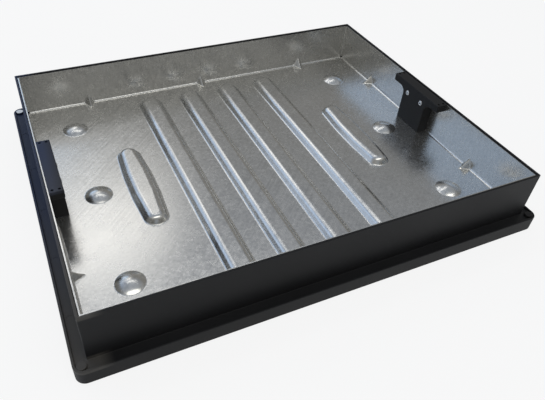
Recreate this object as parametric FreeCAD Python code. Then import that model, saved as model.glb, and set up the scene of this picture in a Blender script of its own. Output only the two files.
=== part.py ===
import FreeCAD, Part
import math
import os

from FreeCAD import Vector

# Recessed paving cover: a pressed steel tray that is filled with paving and
# rests in a moulded frame. Millimetres. X runs along the long side, Y along the
# short side, Z up. The origin is the centre of the frame's base.

# Frame in plan, worked outwards from the clear opening
OPENING_LENGTH = 750.0
OPENING_WIDTH = 600.0
END_LEDGE = 21.0
SIDE_LEDGE = 18.0
FLANGE_REACH = 21.0
RIM_CORNER_RADIUS = 2.0
FLANGE_CORNER_RADIUS = 16.0

# Frame in section
FRAME_HEIGHT = 117.0
FRAME_WALL = 4.0
LIP_HEIGHT = 28.0
LIP_WIDTH = 4.0
CHANNEL_DEPTH = 4.0
LEDGE_HEIGHT = 28.0
LIP_EDGE = 1.2

# Stiffening ribs under the frame
WEB_THICKNESS = 3.0
WEB_PITCH = 122.0

# Round bosses in the corners of the frame's channel
BOSS_DIAMETER = 14.5
BOSS_HEIGHT = 4.5

# Tray sheet
SHEET = 2.0
TRAY_GAP = 1.0
TRAY_DROP = 2.0
FOLD_RADIUS = 3.0
RELIEF_DIAMETER = 6.0
RELIEF_INSET = 1.0
RELIEF_RISE = 3.5

# Long ribs across the tray's floor
RIB_COUNT = 4
RIB_PITCH = 92.4
RIB_END_GAP = 33.0
RIB_WIDTH = 50.0
RIB_HEIGHT = 15.0
RIB_RUN = 10.0

# Short ribs with bulging sides, one near each end of the floor
SHORT_RIB_INSET = 161.0
SHORT_RIB_LENGTH = 224.0
SHORT_RIB_MIDDLE_WIDTH = 52.0
SHORT_RIB_END_WIDTH = 43.0

# Round domes, three in a row beside each end wall
DOME_COUNT = 3
DOME_END_INSET = 81.5
DOME_SIDE_INSET = 96.5
DOME_DIAMETER = 49.0
DOME_TOP_DIAMETER = 14.0
DOME_HEIGHT = 8.5

# Darts that stiffen the fold between floor and wall
LONG_WALL_DART_COUNT = 3
SHORT_WALL_DART_COUNT = 2
DART_HALF_WIDTH = 13.0
DART_REACH = 20.0
DART_RISE = 18.0
LONG_WALL_DART_INSET = 131.0
SHORT_WALL_DART_INSET = 138.0

# Lifting blocks
BLOCK_DEPTH = 23.5
BLOCK_SPAN = 146.0
ARM_HEIGHT = 16.0
STEM_WIDTH = 73.0
ARM_FILLET = 14.0
BLOCK_OFFSET = 4.4
BLOCK_EDGE = 1.2
FOLD_CLEARANCE = 1.0

# Rivets that hold the blocks
RIVET_PITCH = 44.5
RIVET_DROP = 21.5
RIVET_SHANK = 4.8
RIVET_HEAD_DIAMETER = 10.5
RIVET_HEAD_HEIGHT = 1.5
RIVET_TAIL_INSET = 0.1
RIVET_CLEARANCE = 0.1

# Length by which a cutting form runs past the face that it opens
OVERRUN = 1.0

# Levels and plan sizes that follow from the values above
FLOOR_UNDER = LEDGE_HEIGHT
FLOOR_TOP = FLOOR_UNDER + SHEET
TRAY_TOP = FRAME_HEIGHT - TRAY_DROP
CHANNEL_FLOOR = LIP_HEIGHT - CHANNEL_DEPTH
DECK_UNDER = CHANNEL_FLOOR - FRAME_WALL
RIM_LENGTH = OPENING_LENGTH + 2 * (END_LEDGE + FRAME_WALL)
RIM_WIDTH = OPENING_WIDTH + 2 * (SIDE_LEDGE + FRAME_WALL)
TRAY_LENGTH = RIM_LENGTH - 2 * (FRAME_WALL + TRAY_GAP)
TRAY_WIDTH = RIM_WIDTH - 2 * (FRAME_WALL + TRAY_GAP)
END_FACE = TRAY_LENGTH / 2 - SHEET
SIDE_FACE = TRAY_WIDTH / 2 - SHEET
BLOCK_FACE = END_FACE - BLOCK_DEPTH
RIVET_LEVEL = FRAME_HEIGHT - RIVET_DROP

UP = Vector(0, 0, 1)
ORIGIN = Vector(0, 0, 0)


def rounded_block(length, width, low, high, corner):
    """Upright block about the vertical axis, with rounded upright edges."""
    block = Part.makeBox(length, width, high - low, Vector(-length / 2, -width / 2, low))
    if corner <= 0:
        return block
    uprights = [edge for edge in block.Edges if abs(edge.tangentAt(edge.FirstParameter).z) > 0.9]
    return block.makeFillet(corner, uprights)


def upright_cylinder(diameter, low, high, x, y):
    """Round upright form between two levels."""
    return Part.makeCylinder(diameter / 2, high - low, Vector(x, y, low), UP)


def centred_places(count, pitch):
    """Evenly spaced places on both sides of zero."""
    return [(index - (count - 1) / 2) * pitch for index in range(count)]


def chamfer_loop(shape, size, level, length, width):
    """Chamfers the edges of a shape that lie at one level on one rounded rectangle."""
    def on_loop(edge):
        box = edge.BoundBox
        if abs(box.ZMin - level) > 0.01 or abs(box.ZMax - level) > 0.01:
            return False
        middle = edge.CenterOfMass
        on_long = abs(abs(middle.y) - width / 2) < 2 * FLANGE_CORNER_RADIUS
        on_short = abs(abs(middle.x) - length / 2) < 2 * FLANGE_CORNER_RADIUS
        touches_long = abs(max(abs(box.YMin), abs(box.YMax)) - width / 2) < 0.01
        touches_short = abs(max(abs(box.XMin), abs(box.XMax)) - length / 2) < 0.01
        return (on_long and touches_long) or (on_short and touches_short)

    return shape.makeChamfer(size, [edge for edge in shape.Edges if on_loop(edge)])


# Frame

def make_frame():
    """One moulding: lipped flange, upright wall, ledge, inner skirt and webs."""
    base_length = RIM_LENGTH + 2 * FLANGE_REACH
    base_width = RIM_WIDTH + 2 * FLANGE_REACH
    flange = rounded_block(base_length, base_width, 0, LIP_HEIGHT, FLANGE_CORNER_RADIUS)
    rim = rounded_block(RIM_LENGTH, RIM_WIDTH, DECK_UNDER, FRAME_HEIGHT, RIM_CORNER_RADIUS)
    lip_corner = FLANGE_CORNER_RADIUS - LIP_WIDTH
    channel = rounded_block(
        base_length - 2 * LIP_WIDTH, base_width - 2 * LIP_WIDTH,
        CHANNEL_FLOOR, LIP_HEIGHT + OVERRUN, lip_corner)
    pocket = rounded_block(
        RIM_LENGTH - 2 * FRAME_WALL, RIM_WIDTH - 2 * FRAME_WALL,
        LEDGE_HEIGHT, FRAME_HEIGHT + OVERRUN, 0)
    opening = rounded_block(
        OPENING_LENGTH, OPENING_WIDTH, -OVERRUN, LEDGE_HEIGHT + OVERRUN, 0)
    frame = flange.cut(channel).fuse(rim)
    frame = frame.cut([pocket, opening, make_frame_underside()])
    frame = frame.fuse(make_webs() + make_bosses()).removeSplitter()
    return chamfer_loop(frame, LIP_EDGE, LIP_HEIGHT, base_length, base_width)


def make_frame_underside():
    """Hollow below the flange and the ledge, between the outer and inner skirts."""
    wide = rounded_block(
        RIM_LENGTH + 2 * (FLANGE_REACH - FRAME_WALL), RIM_WIDTH + 2 * (FLANGE_REACH - FRAME_WALL),
        -OVERRUN, DECK_UNDER, FLANGE_CORNER_RADIUS - FRAME_WALL)
    under_ledge = rounded_block(
        RIM_LENGTH - 2 * FRAME_WALL, RIM_WIDTH - 2 * FRAME_WALL,
        -OVERRUN, LEDGE_HEIGHT - FRAME_WALL, 0)
    skirt = rounded_block(
        OPENING_LENGTH + 2 * FRAME_WALL, OPENING_WIDTH + 2 * FRAME_WALL,
        -2 * OVERRUN, LEDGE_HEIGHT, 0)
    return wide.fuse(under_ledge).cut(skirt)


def make_webs():
    """Cross ribs that join the outer skirt to the inner skirt."""
    outer_x = RIM_LENGTH / 2 + FLANGE_REACH - FRAME_WALL / 2
    outer_y = RIM_WIDTH / 2 + FLANGE_REACH - FRAME_WALL / 2
    inner_x = OPENING_LENGTH / 2 + FRAME_WALL / 2
    inner_y = OPENING_WIDTH / 2 + FRAME_WALL / 2
    along_x = int(OPENING_LENGTH / WEB_PITCH)
    along_y = int(OPENING_WIDTH / WEB_PITCH)
    height = DECK_UNDER + FRAME_WALL / 2
    webs = []
    for x in centred_places(along_x, WEB_PITCH):
        for low_y in (-outer_y, inner_y):
            corner = Vector(x - WEB_THICKNESS / 2, low_y, 0)
            webs.append(Part.makeBox(WEB_THICKNESS, outer_y - inner_y, height, corner))
    for y in centred_places(along_y, WEB_PITCH):
        for low_x in (-outer_x, inner_x):
            corner = Vector(low_x, y - WEB_THICKNESS / 2, 0)
            webs.append(Part.makeBox(outer_x - inner_x, WEB_THICKNESS, height, corner))
    return webs


def make_bosses():
    """Round boss in the channel at each corner of the flange."""
    channel_centre = (FLANGE_REACH - LIP_WIDTH) / 2
    x = RIM_LENGTH / 2 + channel_centre
    y = RIM_WIDTH / 2 + channel_centre
    bosses = []
    for side_x in (-1, 1):
        for side_y in (-1, 1):
            bosses.append(upright_cylinder(
                BOSS_DIAMETER, CHANNEL_FLOOR - FRAME_WALL / 2, CHANNEL_FLOOR + BOSS_HEIGHT,
                side_x * x, side_y * y))
    return bosses


# Tray

def pressing_section(half_width, run, height, inset):
    """Half section of a pressed form, as a face in the XZ plane from its centre line.

    With no inset its outline is the sheet's upper skin. An inset of the sheet's
    thickness gives the lower skin: each face moves in square to itself.
    """
    slope = math.atan2(height, run)
    base = half_width - inset * math.tan(slope / 2)
    floor = FLOOR_TOP - inset
    closing = floor - SHEET / 2
    points = [
        Vector(0, 0, closing),
        Vector(base, 0, closing),
        Vector(base, 0, floor),
        Vector(base - run, 0, floor + height),
        Vector(0, 0, floor + height),
        Vector(0, 0, closing),
    ]
    return Part.Face(Part.makePolygon(points))


def half_turn(section, y, start, sweep):
    """Rounded end of a rib: a section turned about the upright axis at a place on Y."""
    turned = section.copy()
    turned.rotate(ORIGIN, UP, start)
    end = turned.revolve(ORIGIN, UP, sweep)
    end.translate(Vector(0, y, 0))
    return end


def long_rib(inset):
    """Straight rib with full-round ends, centred on the origin in plan."""
    section = pressing_section(RIB_WIDTH / 2, RIB_RUN, RIB_HEIGHT, inset)
    end = SIDE_FACE - RIB_END_GAP - RIB_WIDTH / 2
    side = section.extrude(Vector(0, 2 * end, 0))
    side.translate(Vector(0, -end, 0))
    mirrored = side.mirror(ORIGIN, Vector(1, 0, 0))
    ends = [half_turn(section, end, 0, 180), half_turn(section, -end, 180, 180)]
    return side.fuse([mirrored] + ends).removeSplitter()


def short_rib(inset):
    """Rib whose sides bulge in plan on one arc each, tangent to its rounded ends."""
    middle = SHORT_RIB_MIDDLE_WIDTH / 2
    end = SHORT_RIB_END_WIDTH / 2
    end_place = SHORT_RIB_LENGTH / 2 - end
    side_radius = (end_place ** 2 + middle ** 2 - end ** 2) / (2 * (middle - end))
    swing = math.degrees(math.atan2(end_place, side_radius - middle))
    wide = pressing_section(middle, RIB_RUN, RIB_HEIGHT, inset)
    narrow = pressing_section(end, RIB_RUN, RIB_HEIGHT, inset)
    axis = Vector(middle - side_radius, 0, 0)
    turned = wide.copy()
    turned.rotate(axis, UP, -swing)
    side = turned.revolve(axis, UP, 2 * swing)
    mirrored = side.mirror(ORIGIN, Vector(1, 0, 0))
    sweep = 180 - 2 * swing
    ends = [half_turn(narrow, end_place, swing, sweep), half_turn(narrow, -end_place, 180 + swing, sweep)]
    return side.fuse([mirrored] + ends).removeSplitter()


def dome(inset):
    """Low round dome with a soft top."""
    run = (DOME_DIAMETER - DOME_TOP_DIAMETER) / 2
    section = pressing_section(DOME_DIAMETER / 2, run, DOME_HEIGHT, inset)
    return section.revolve(ORIGIN, UP, 360)


def dart(inset):
    """Three-cornered dart across a fold, its wall on the XZ plane, reaching along +Y.

    Its two faces meet in a ridge. An inset moves both faces inwards, square to
    themselves, and the corner behind the fold moves out to stay clear of the sheet.
    """
    steepness = math.sqrt(DART_HALF_WIDTH ** -2 + DART_REACH ** -2 + DART_RISE ** -2)
    back = inset + SHEET / 2
    scale = 1 - inset * steepness + back / DART_REACH + back / DART_RISE
    half_width = DART_HALF_WIDTH * scale
    left = Vector(-half_width, -back, -back)
    right = Vector(half_width, -back, -back)
    nose = Vector(0, DART_REACH * scale - back, -back)
    peak = Vector(0, -back, DART_RISE * scale - back)
    triangles = [(left, right, nose), (left, peak, right), (left, nose, peak), (right, peak, nose)]
    faces = [Part.Face(Part.makePolygon([a, b, c, a])) for a, b, c in triangles]
    return Part.makeSolid(Part.makeShell(faces))


def place_darts(inset):
    """Darts on all four folds of the tray."""
    places = []
    for x in centred_places(LONG_WALL_DART_COUNT, END_FACE - LONG_WALL_DART_INSET):
        places.append((x, -SIDE_FACE, 0))
        places.append((x, SIDE_FACE, 180))
    for y in centred_places(SHORT_WALL_DART_COUNT, 2 * (SIDE_FACE - SHORT_WALL_DART_INSET)):
        places.append((-END_FACE, y, -90))
        places.append((END_FACE, y, 90))
    darts = []
    for x, y, turn in places:
        form = dart(inset)
        form.rotate(ORIGIN, UP, turn)
        form.translate(Vector(x, y, FLOOR_TOP))
        darts.append(form)
    return darts


def place_pressings(inset):
    """Every raised form of the tray, bounded by its upper or its lower skin."""
    forms = []
    for x in centred_places(RIB_COUNT, RIB_PITCH):
        forms.append(long_rib(inset).translated(Vector(x, 0, 0)))
    for side in (-1, 1):
        rib_x = side * (END_FACE - SHORT_RIB_INSET)
        dome_x = side * (END_FACE - DOME_END_INSET)
        forms.append(short_rib(inset).translated(Vector(rib_x, 0, 0)))
        for y in centred_places(DOME_COUNT, SIDE_FACE - DOME_SIDE_INSET):
            forms.append(dome(inset).translated(Vector(dome_x, y, 0)))
    return forms + place_darts(inset)


def folded_block(length, width, low, high, radius):
    """Block whose four bottom edges are rounded and meet in mitres."""
    def half_block(across, along, turn):
        half = across / 2
        diagonal = radius * (1 - math.sqrt(0.5))
        edges = [
            Part.makeLine(Vector(-half, 0, high), Vector(-half, 0, low + radius)),
            Part.Arc(
                Vector(-half, 0, low + radius),
                Vector(-half + diagonal, 0, low + diagonal),
                Vector(-half + radius, 0, low)).toShape(),
            Part.makeLine(Vector(-half + radius, 0, low), Vector(half - radius, 0, low)),
            Part.Arc(
                Vector(half - radius, 0, low),
                Vector(half - diagonal, 0, low + diagonal),
                Vector(half, 0, low + radius)).toShape(),
            Part.makeLine(Vector(half, 0, low + radius), Vector(half, 0, high)),
            Part.makeLine(Vector(half, 0, high), Vector(-half, 0, high)),
        ]
        block = Part.Face(Part.Wire(edges)).extrude(Vector(0, along, 0))
        block.translate(Vector(0, -along / 2, 0))
        block.rotate(ORIGIN, UP, turn)
        return block

    return half_block(length, width, 0).common(half_block(width, length, 90))


def make_corner_reliefs():
    """Round hole in each bottom corner, where the two folds would meet."""
    x = END_FACE - RELIEF_INSET
    y = SIDE_FACE - RELIEF_INSET
    return [
        upright_cylinder(
            RELIEF_DIAMETER, FLOOR_UNDER - OVERRUN, FLOOR_TOP + RELIEF_RISE, side_x * x, side_y * y)
        for side_x in (-1, 1) for side_y in (-1, 1)
    ]


def make_tray():
    """One folded sheet with pressed ribs, domes and darts, the same thickness throughout."""
    outside = folded_block(TRAY_LENGTH, TRAY_WIDTH, FLOOR_UNDER, TRAY_TOP, FOLD_RADIUS + SHEET)
    inside = folded_block(
        TRAY_LENGTH - 2 * SHEET, TRAY_WIDTH - 2 * SHEET,
        FLOOR_TOP, TRAY_TOP + OVERRUN, FOLD_RADIUS)
    cavity = inside.cut(place_pressings(0))
    hollows = place_pressings(SHEET)
    tray = outside.cut(cavity).cut(hollows)
    return tray.cut(make_corner_reliefs() + place_rivet_holes(make_wall_hole())).removeSplitter()


# Lifting blocks and rivets, made for the right-hand wall and turned for the left

def rivet_places():
    """Places of one block's two rivets along Y, front first."""
    return [-BLOCK_OFFSET + place for place in centred_places(2, RIVET_PITCH)]


def turned_round(shape):
    """The same shape turned half a turn about the upright axis."""
    turned = shape.copy()
    turned.rotate(ORIGIN, UP, 180)
    return turned


def place_rivet_holes(hole):
    """A hole form at each rivet of both end walls."""
    right = [hole.translated(Vector(0, y, RIVET_LEVEL)) for y in rivet_places()]
    return right + [turned_round(form) for form in right]


def make_wall_hole():
    """Hole for a rivet in the tray's end wall."""
    start = Vector(END_FACE - OVERRUN, 0, 0)
    return Part.makeCylinder(
        RIVET_SHANK / 2 + RIVET_CLEARANCE, SHEET + 2 * OVERRUN, start, Vector(1, 0, 0))


def make_rivet():
    """Rivet: flat round head on the block, tail flush with the wall's outer face."""
    shank = RIVET_SHANK / 2
    head = RIVET_HEAD_DIAMETER / 2
    crown = BLOCK_FACE - RIVET_HEAD_HEIGHT
    tail = END_FACE + SHEET - RIVET_TAIL_INSET
    points = [
        Vector(crown, 0, 0),
        Vector(crown, 0, head),
        Vector(BLOCK_FACE, 0, head),
        Vector(BLOCK_FACE, 0, shank),
        Vector(tail, 0, shank),
        Vector(tail, 0, 0),
        Vector(crown, 0, 0),
    ]
    return Part.Face(Part.makePolygon(points)).revolve(ORIGIN, Vector(1, 0, 0), 360)


def make_block_outline():
    """Outline of a lifting block seen from the tray: a T with rounded inner corners."""
    span = BLOCK_SPAN / 2
    stem = STEM_WIDTH / 2
    arm_under = FRAME_HEIGHT - ARM_HEIGHT
    diagonal = ARM_FILLET * (1 - math.sqrt(0.5))

    def at(y, z):
        return Vector(0, y, z)

    def half_outline(side):
        return [
            Part.makeLine(at(side * stem, FLOOR_TOP), at(side * stem, arm_under - ARM_FILLET)),
            Part.Arc(
                at(side * stem, arm_under - ARM_FILLET),
                at(side * (stem + diagonal), arm_under - diagonal),
                at(side * (stem + ARM_FILLET), arm_under)).toShape(),
            Part.makeLine(at(side * (stem + ARM_FILLET), arm_under), at(side * span, arm_under)),
            Part.makeLine(at(side * span, arm_under), at(side * span, FRAME_HEIGHT)),
        ]

    foot = Part.makeLine(at(-stem, FLOOR_TOP), at(stem, FLOOR_TOP))
    top = Part.makeLine(at(-span, FRAME_HEIGHT), at(span, FRAME_HEIGHT))
    edges = half_outline(-1) + half_outline(1) + [foot, top]
    return Part.Face(Part.Wire(Part.__sortEdges__(edges)))


def make_lifting_block():
    """T-shaped block against the right-hand wall; a lifting key hooks under its arms."""
    block = make_block_outline().extrude(Vector(BLOCK_DEPTH, 0, 0))
    block.translate(Vector(BLOCK_FACE, 0, 0))

    def is_front(edge):
        return edge.BoundBox.XMax < BLOCK_FACE + 0.01 and edge.BoundBox.ZMax > FLOOR_TOP + 0.01

    def is_heel(edge):
        box = edge.BoundBox
        return box.XMin > END_FACE - 0.01 and box.ZMax < FLOOR_TOP + 0.01

    block = block.makeChamfer(BLOCK_EDGE, [edge for edge in block.Edges if is_front(edge)])
    block = block.makeChamfer(
        FOLD_RADIUS + FOLD_CLEARANCE, [edge for edge in block.Edges if is_heel(edge)])
    block.translate(Vector(0, -BLOCK_OFFSET, 0))
    radius = RIVET_SHANK / 2 + RIVET_CLEARANCE
    holes = []
    for y in rivet_places():
        start = Vector(BLOCK_FACE - OVERRUN, y, RIVET_LEVEL)
        length = BLOCK_DEPTH + 2 * OVERRUN
        holes.append(Part.makeCylinder(radius, length, start, Vector(1, 0, 0)))
    return block.cut(holes)


def make_parts():
    """Every piece of the cover, by name."""
    block = make_lifting_block()
    rivet = make_rivet()
    front_y, back_y = rivet_places()
    right_front = rivet.translated(Vector(0, front_y, RIVET_LEVEL))
    right_back = rivet.translated(Vector(0, back_y, RIVET_LEVEL))
    return {
        "frame": make_frame(),
        "tray": make_tray(),
        "lifting_block_right": block,
        "lifting_block_left": turned_round(block),
        "right_rivet_front": right_front,
        "right_rivet_back": right_back,
        "left_rivet_front": turned_round(right_back),
        "left_rivet_back": turned_round(right_front),
    }


os.makedirs("parts", exist_ok=True)
for name, shape in make_parts().items():
    shape.exportStep("parts/" + name + ".step")
    print(name, shape.isValid(), len(shape.Solids), round(shape.Volume / 1000.0, 1), "cm3")
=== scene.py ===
"""Looks of a recessed paving cover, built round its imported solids.

Metres. X runs along the long side, Y along the short side and Z up, with the
origin at the centre of the frame's base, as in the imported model.
"""

import logging
import math
import random
from dataclasses import dataclass
from enum import Enum
from typing import Any, Callable, Optional, Sequence, Union

import bmesh
import bpy
from bmesh.types import BMEdge, BMVert
from bpy.types import ColorRamp, ID, Material, Mesh, Node, NodeSocket, Object, World
from mathutils import Matrix, Vector

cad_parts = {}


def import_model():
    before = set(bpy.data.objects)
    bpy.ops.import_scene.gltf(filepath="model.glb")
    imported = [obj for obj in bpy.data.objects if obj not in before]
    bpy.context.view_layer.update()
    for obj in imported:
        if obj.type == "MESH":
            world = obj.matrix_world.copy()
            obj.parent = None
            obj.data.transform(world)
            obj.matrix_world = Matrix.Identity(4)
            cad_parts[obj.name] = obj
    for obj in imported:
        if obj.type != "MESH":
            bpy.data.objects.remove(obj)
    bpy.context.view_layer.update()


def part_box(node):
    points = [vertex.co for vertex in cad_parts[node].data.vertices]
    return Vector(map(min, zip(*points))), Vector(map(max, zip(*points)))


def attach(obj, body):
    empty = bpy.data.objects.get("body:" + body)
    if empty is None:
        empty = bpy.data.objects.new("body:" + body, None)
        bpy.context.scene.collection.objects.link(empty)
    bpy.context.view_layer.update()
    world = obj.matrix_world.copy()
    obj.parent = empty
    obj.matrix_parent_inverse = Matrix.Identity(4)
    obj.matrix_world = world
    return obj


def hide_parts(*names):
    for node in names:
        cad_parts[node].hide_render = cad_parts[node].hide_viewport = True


LOG = logging.getLogger("paving_cover")

MM = 0.001
BODY = "root"
SHARP_ANGLE = math.radians(32.0)
MERGE_GAP = 0.01 * MM
NEAR = 0.1 * MM
RIVET_HOLE = 2.5 * MM
SIDES = (-1, 1)
CORNERS = tuple((x, y) for x in SIDES for y in SIDES)
ALONG = Vector((1.0, 0.0, 0.0))
UP = Vector((0.0, 0.0, 1.0))

Colour = tuple[float, float, float]
Factors = tuple[float, float, float]
Span = tuple[float, float]


class Joining(Enum):
    """How one closed mesh is combined with another."""

    UNION = "UNION"
    CUT = "DIFFERENCE"


class End(Enum):
    """End of the tray, with its sign on X."""

    LEFT = -1
    RIGHT = 1


# Meshes


class Shape:
    """A mesh under construction, with the moves that the pieces share."""

    def __init__(self) -> None:
        """Starts with an empty mesh."""
        self.bm = bmesh.new()

    def line(self, points: Sequence[Vector]) -> list[BMVert]:
        """Adds a line of edges through a few points.

        Args:
            points: The points in order.

        Returns:
            The line's vertices in order.
        """
        verts = [self.bm.verts.new(point) for point in points]
        for first, second in zip(verts, verts[1:]):
            self.bm.edges.new((first, second))
        return verts

    def bend(self, verts: Sequence[BMVert], tangent: float, steps: int) -> list[BMVert]:
        """Rounds corners with arcs that start at a distance from each."""
        return self._bevel(verts, tangent, steps, "VERTICES")

    def soften(self, edges: Sequence[BMEdge], radius: float, steps: int = 2) -> None:
        """Rounds edges with a number of faces across each."""
        self._bevel(edges, radius, steps, "EDGES")

    def _bevel(
            self, parts: Sequence[Union[BMVert, BMEdge]], offset: float, steps: int,
            affect: str) -> list[BMVert]:
        """Bevels corners or edges in an arc."""
        return bmesh.ops.bevel(
            self.bm, geom=list(parts), offset=offset, offset_type="OFFSET", segments=steps,
            profile=0.5, affect=affect, material=-1, clamp_overlap=affect == "EDGES")["verts"]

    def extrude(self, edges: Sequence[BMEdge], reach: Vector) -> list[BMEdge]:
        """Extrudes edges.

        Args:
            edges: The edges.
            reach: The way that the new ones are moved.

        Returns:
            The new edges, in step with the old ones.
        """
        result = bmesh.ops.extrude_edge_only(self.bm, edges=list(edges))["geom"]
        new = {item for item in result if isinstance(item, BMVert)}
        edges = [item for item in result if isinstance(item, BMEdge) and new.issuperset(item.verts)]
        bmesh.ops.translate(self.bm, verts=ends_of(edges), vec=reach)
        return edges

    def spin(
            self, edges: Sequence[BMEdge], centre: Vector, axis: Vector, angle: float,
            steps: int) -> list[BMEdge]:
        """Turns edges about an axis and skins their way, closed after a full turn.

        Args:
            edges: The edges.
            centre: A point of the axis.
            axis: Its direction.
            angle: The turn in radians.
            steps: Number of faces on the way.

        Returns:
            The edges at the end of the way.
        """
        result = bmesh.ops.spin(
            self.bm, geom=ends_of(edges) + list(edges), cent=centre, axis=axis,
            dvec=(0.0, 0.0, 0.0), angle=angle, steps=steps, use_merge=angle == 2 * math.pi,
            use_normal_flip=False, use_duplicate=False)["geom_last"]
        return [item for item in result if isinstance(item, BMEdge)]

    def box(self, low: Vector, high: Vector) -> None:
        """Adds a block between its lowest and its highest corner."""
        place = Matrix.Translation((low + high) / 2) @ Matrix.Diagonal((*(high - low), 1.0))
        bmesh.ops.create_cube(self.bm, size=1.0, matrix=place)

    def bar(self, radius: float, start: Vector, reach: Vector, steps: int) -> None:
        """Adds a round bar.

        Args:
            radius: Radius of the bar.
            start: Centre of one end.
            reach: The way from there to the centre of the other end.
            steps: Number of faces round it.
        """
        place = Matrix.Translation(start + reach / 2)
        turn = reach.to_track_quat("Z", "Y").to_matrix().to_4x4()
        bmesh.ops.create_cone(
            self.bm, cap_ends=True, cap_tris=False, segments=steps, radius1=radius,
            radius2=radius, depth=reach.length, matrix=place @ turn)

    def edges_with(self, test: Callable[[BMVert], bool]) -> list[BMEdge]:
        """Edges of which both ends pass a test."""
        return [edge for edge in self.bm.edges if all(test(vert) for vert in edge.verts)]

    def moved(self, place: Matrix) -> "Shape":
        """The shape itself, with all of it moved."""
        bmesh.ops.transform(self.bm, matrix=place, verts=self.bm.verts[:])
        return self

    def absorb(self, other: "Shape") -> None:
        """Adds another shape and lets go of it."""
        self.bm.from_mesh(other.mesh("absorbed"))

    def merge(self) -> None:
        """Joins vertices that lie together."""
        bmesh.ops.remove_doubles(self.bm, verts=self.bm.verts[:], dist=MERGE_GAP)

    def face_outwards(self) -> None:
        """Turns every face of a closed shape outwards."""
        bmesh.ops.recalc_face_normals(self.bm, faces=self.bm.faces[:])

    def mesh(self, name: str) -> Mesh:
        """Writes the shape to a mesh and lets go of it.

        Args:
            name: Name of the mesh.

        Returns:
            The mesh.
        """
        mesh = bpy.data.meshes.new(name)
        self.bm.to_mesh(mesh)
        self.bm.free()
        return mesh


def ends_of(edges: Sequence[BMEdge]) -> list[BMVert]:
    """Vertices of some edges, each once, in a steady order."""
    return list(dict.fromkeys(vert for edge in edges for vert in edge.verts))


def placed(name: str, data: ID) -> Object:
    """Puts data in the scene as a new object.

    Args:
        name: Name of the object.
        data: A mesh, lamp or camera.

    Returns:
        The object.
    """
    made = bpy.data.objects.new(name, data)
    bpy.context.scene.collection.objects.link(made)
    return made


def finished(mesh: Mesh, kind: str, **settings: Any) -> Mesh:
    """Gives a mesh one modifier and applies it.

    Args:
        mesh: The mesh to change.
        kind: Blender's name of the modifier's type.
        **settings: The modifier's settings.

    Returns:
        The changed mesh.
    """
    carrier = placed("carrier", mesh)
    modifier = carrier.modifiers.new("step", kind)
    for name, setting in settings.items():
        setattr(modifier, name, setting)
    graph = bpy.context.evaluated_depsgraph_get()
    changed = bpy.data.meshes.new_from_object(carrier.evaluated_get(graph))
    bpy.data.objects.remove(carrier)
    return changed


def combined(mesh: Mesh, tool: Shape, joining: Joining) -> Mesh:
    """Joins a closed mesh with another, or cuts it.

    Args:
        mesh: The mesh to change.
        tool: The second shape.
        joining: Whether it is added or taken away.

    Returns:
        The changed mesh.
    """
    tool.face_outwards()
    second = placed("tool", tool.mesh("tool"))
    changed = finished(mesh, "BOOLEAN", operation=joining.value, solver="EXACT", object=second)
    bpy.data.objects.remove(second)
    return changed


def publish(name: str, mesh: Mesh, node: str, slot: str, *materials: Material) -> None:
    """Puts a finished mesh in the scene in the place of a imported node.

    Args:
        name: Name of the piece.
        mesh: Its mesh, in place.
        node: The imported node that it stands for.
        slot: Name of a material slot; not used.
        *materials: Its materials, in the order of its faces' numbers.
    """
    mesh.name = name
    mesh.shade_smooth()
    mesh.set_sharp_from_angle(angle=SHARP_ANGLE)
    for material in materials:
        mesh.materials.append(material)
    piece = placed(name, mesh)
    piece.modifiers.new("even_shading", "WEIGHTED_NORMAL").keep_sharp = True
    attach(piece, BODY)
    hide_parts(node)
    LOG.info("%s: %d faces", name, len(mesh.polygons))


# Shader nodes


class Value:
    """A number that changes over a surface, for use in expressions."""

    def __init__(self, graph: "Graph", socket: NodeSocket) -> None:
        """Wraps an output socket of a graph."""
        self.graph = graph
        self.socket = socket

    def _math(self, operation: str, first: "Number", second: "Number") -> "Value":
        """Adds one Math node."""
        node = self.graph.node("ShaderNodeMath", {"operation": operation}, {0: first, 1: second})
        return Value(self.graph, node.outputs[0])

    def __add__(self, other: "Number") -> "Value":
        """Sum."""
        return self._math("ADD", self, other)

    def __radd__(self, other: "Number") -> "Value":
        """Sum, with the number first."""
        return self._math("ADD", other, self)

    def __sub__(self, other: "Number") -> "Value":
        """Difference."""
        return self._math("SUBTRACT", self, other)

    def __rsub__(self, other: "Number") -> "Value":
        """Difference, with the number first."""
        return self._math("SUBTRACT", other, self)

    def __mul__(self, other: "Number") -> "Value":
        """Product."""
        return self._math("MULTIPLY", self, other)

    def __rmul__(self, other: "Number") -> "Value":
        """Product, with the number first."""
        return self._math("MULTIPLY", other, self)

    def spread(self, low: float, high: float) -> "Value":
        """Stretches a range of this value over 0 to 1 and holds the rest at its ends."""
        inputs = {"Value": self, "From Min": low, "From Max": high}
        node = self.graph.node("ShaderNodeMapRange", {"clamp": True}, inputs)
        return Value(self.graph, node.outputs["Result"])


Number = Union[float, Value]


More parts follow.
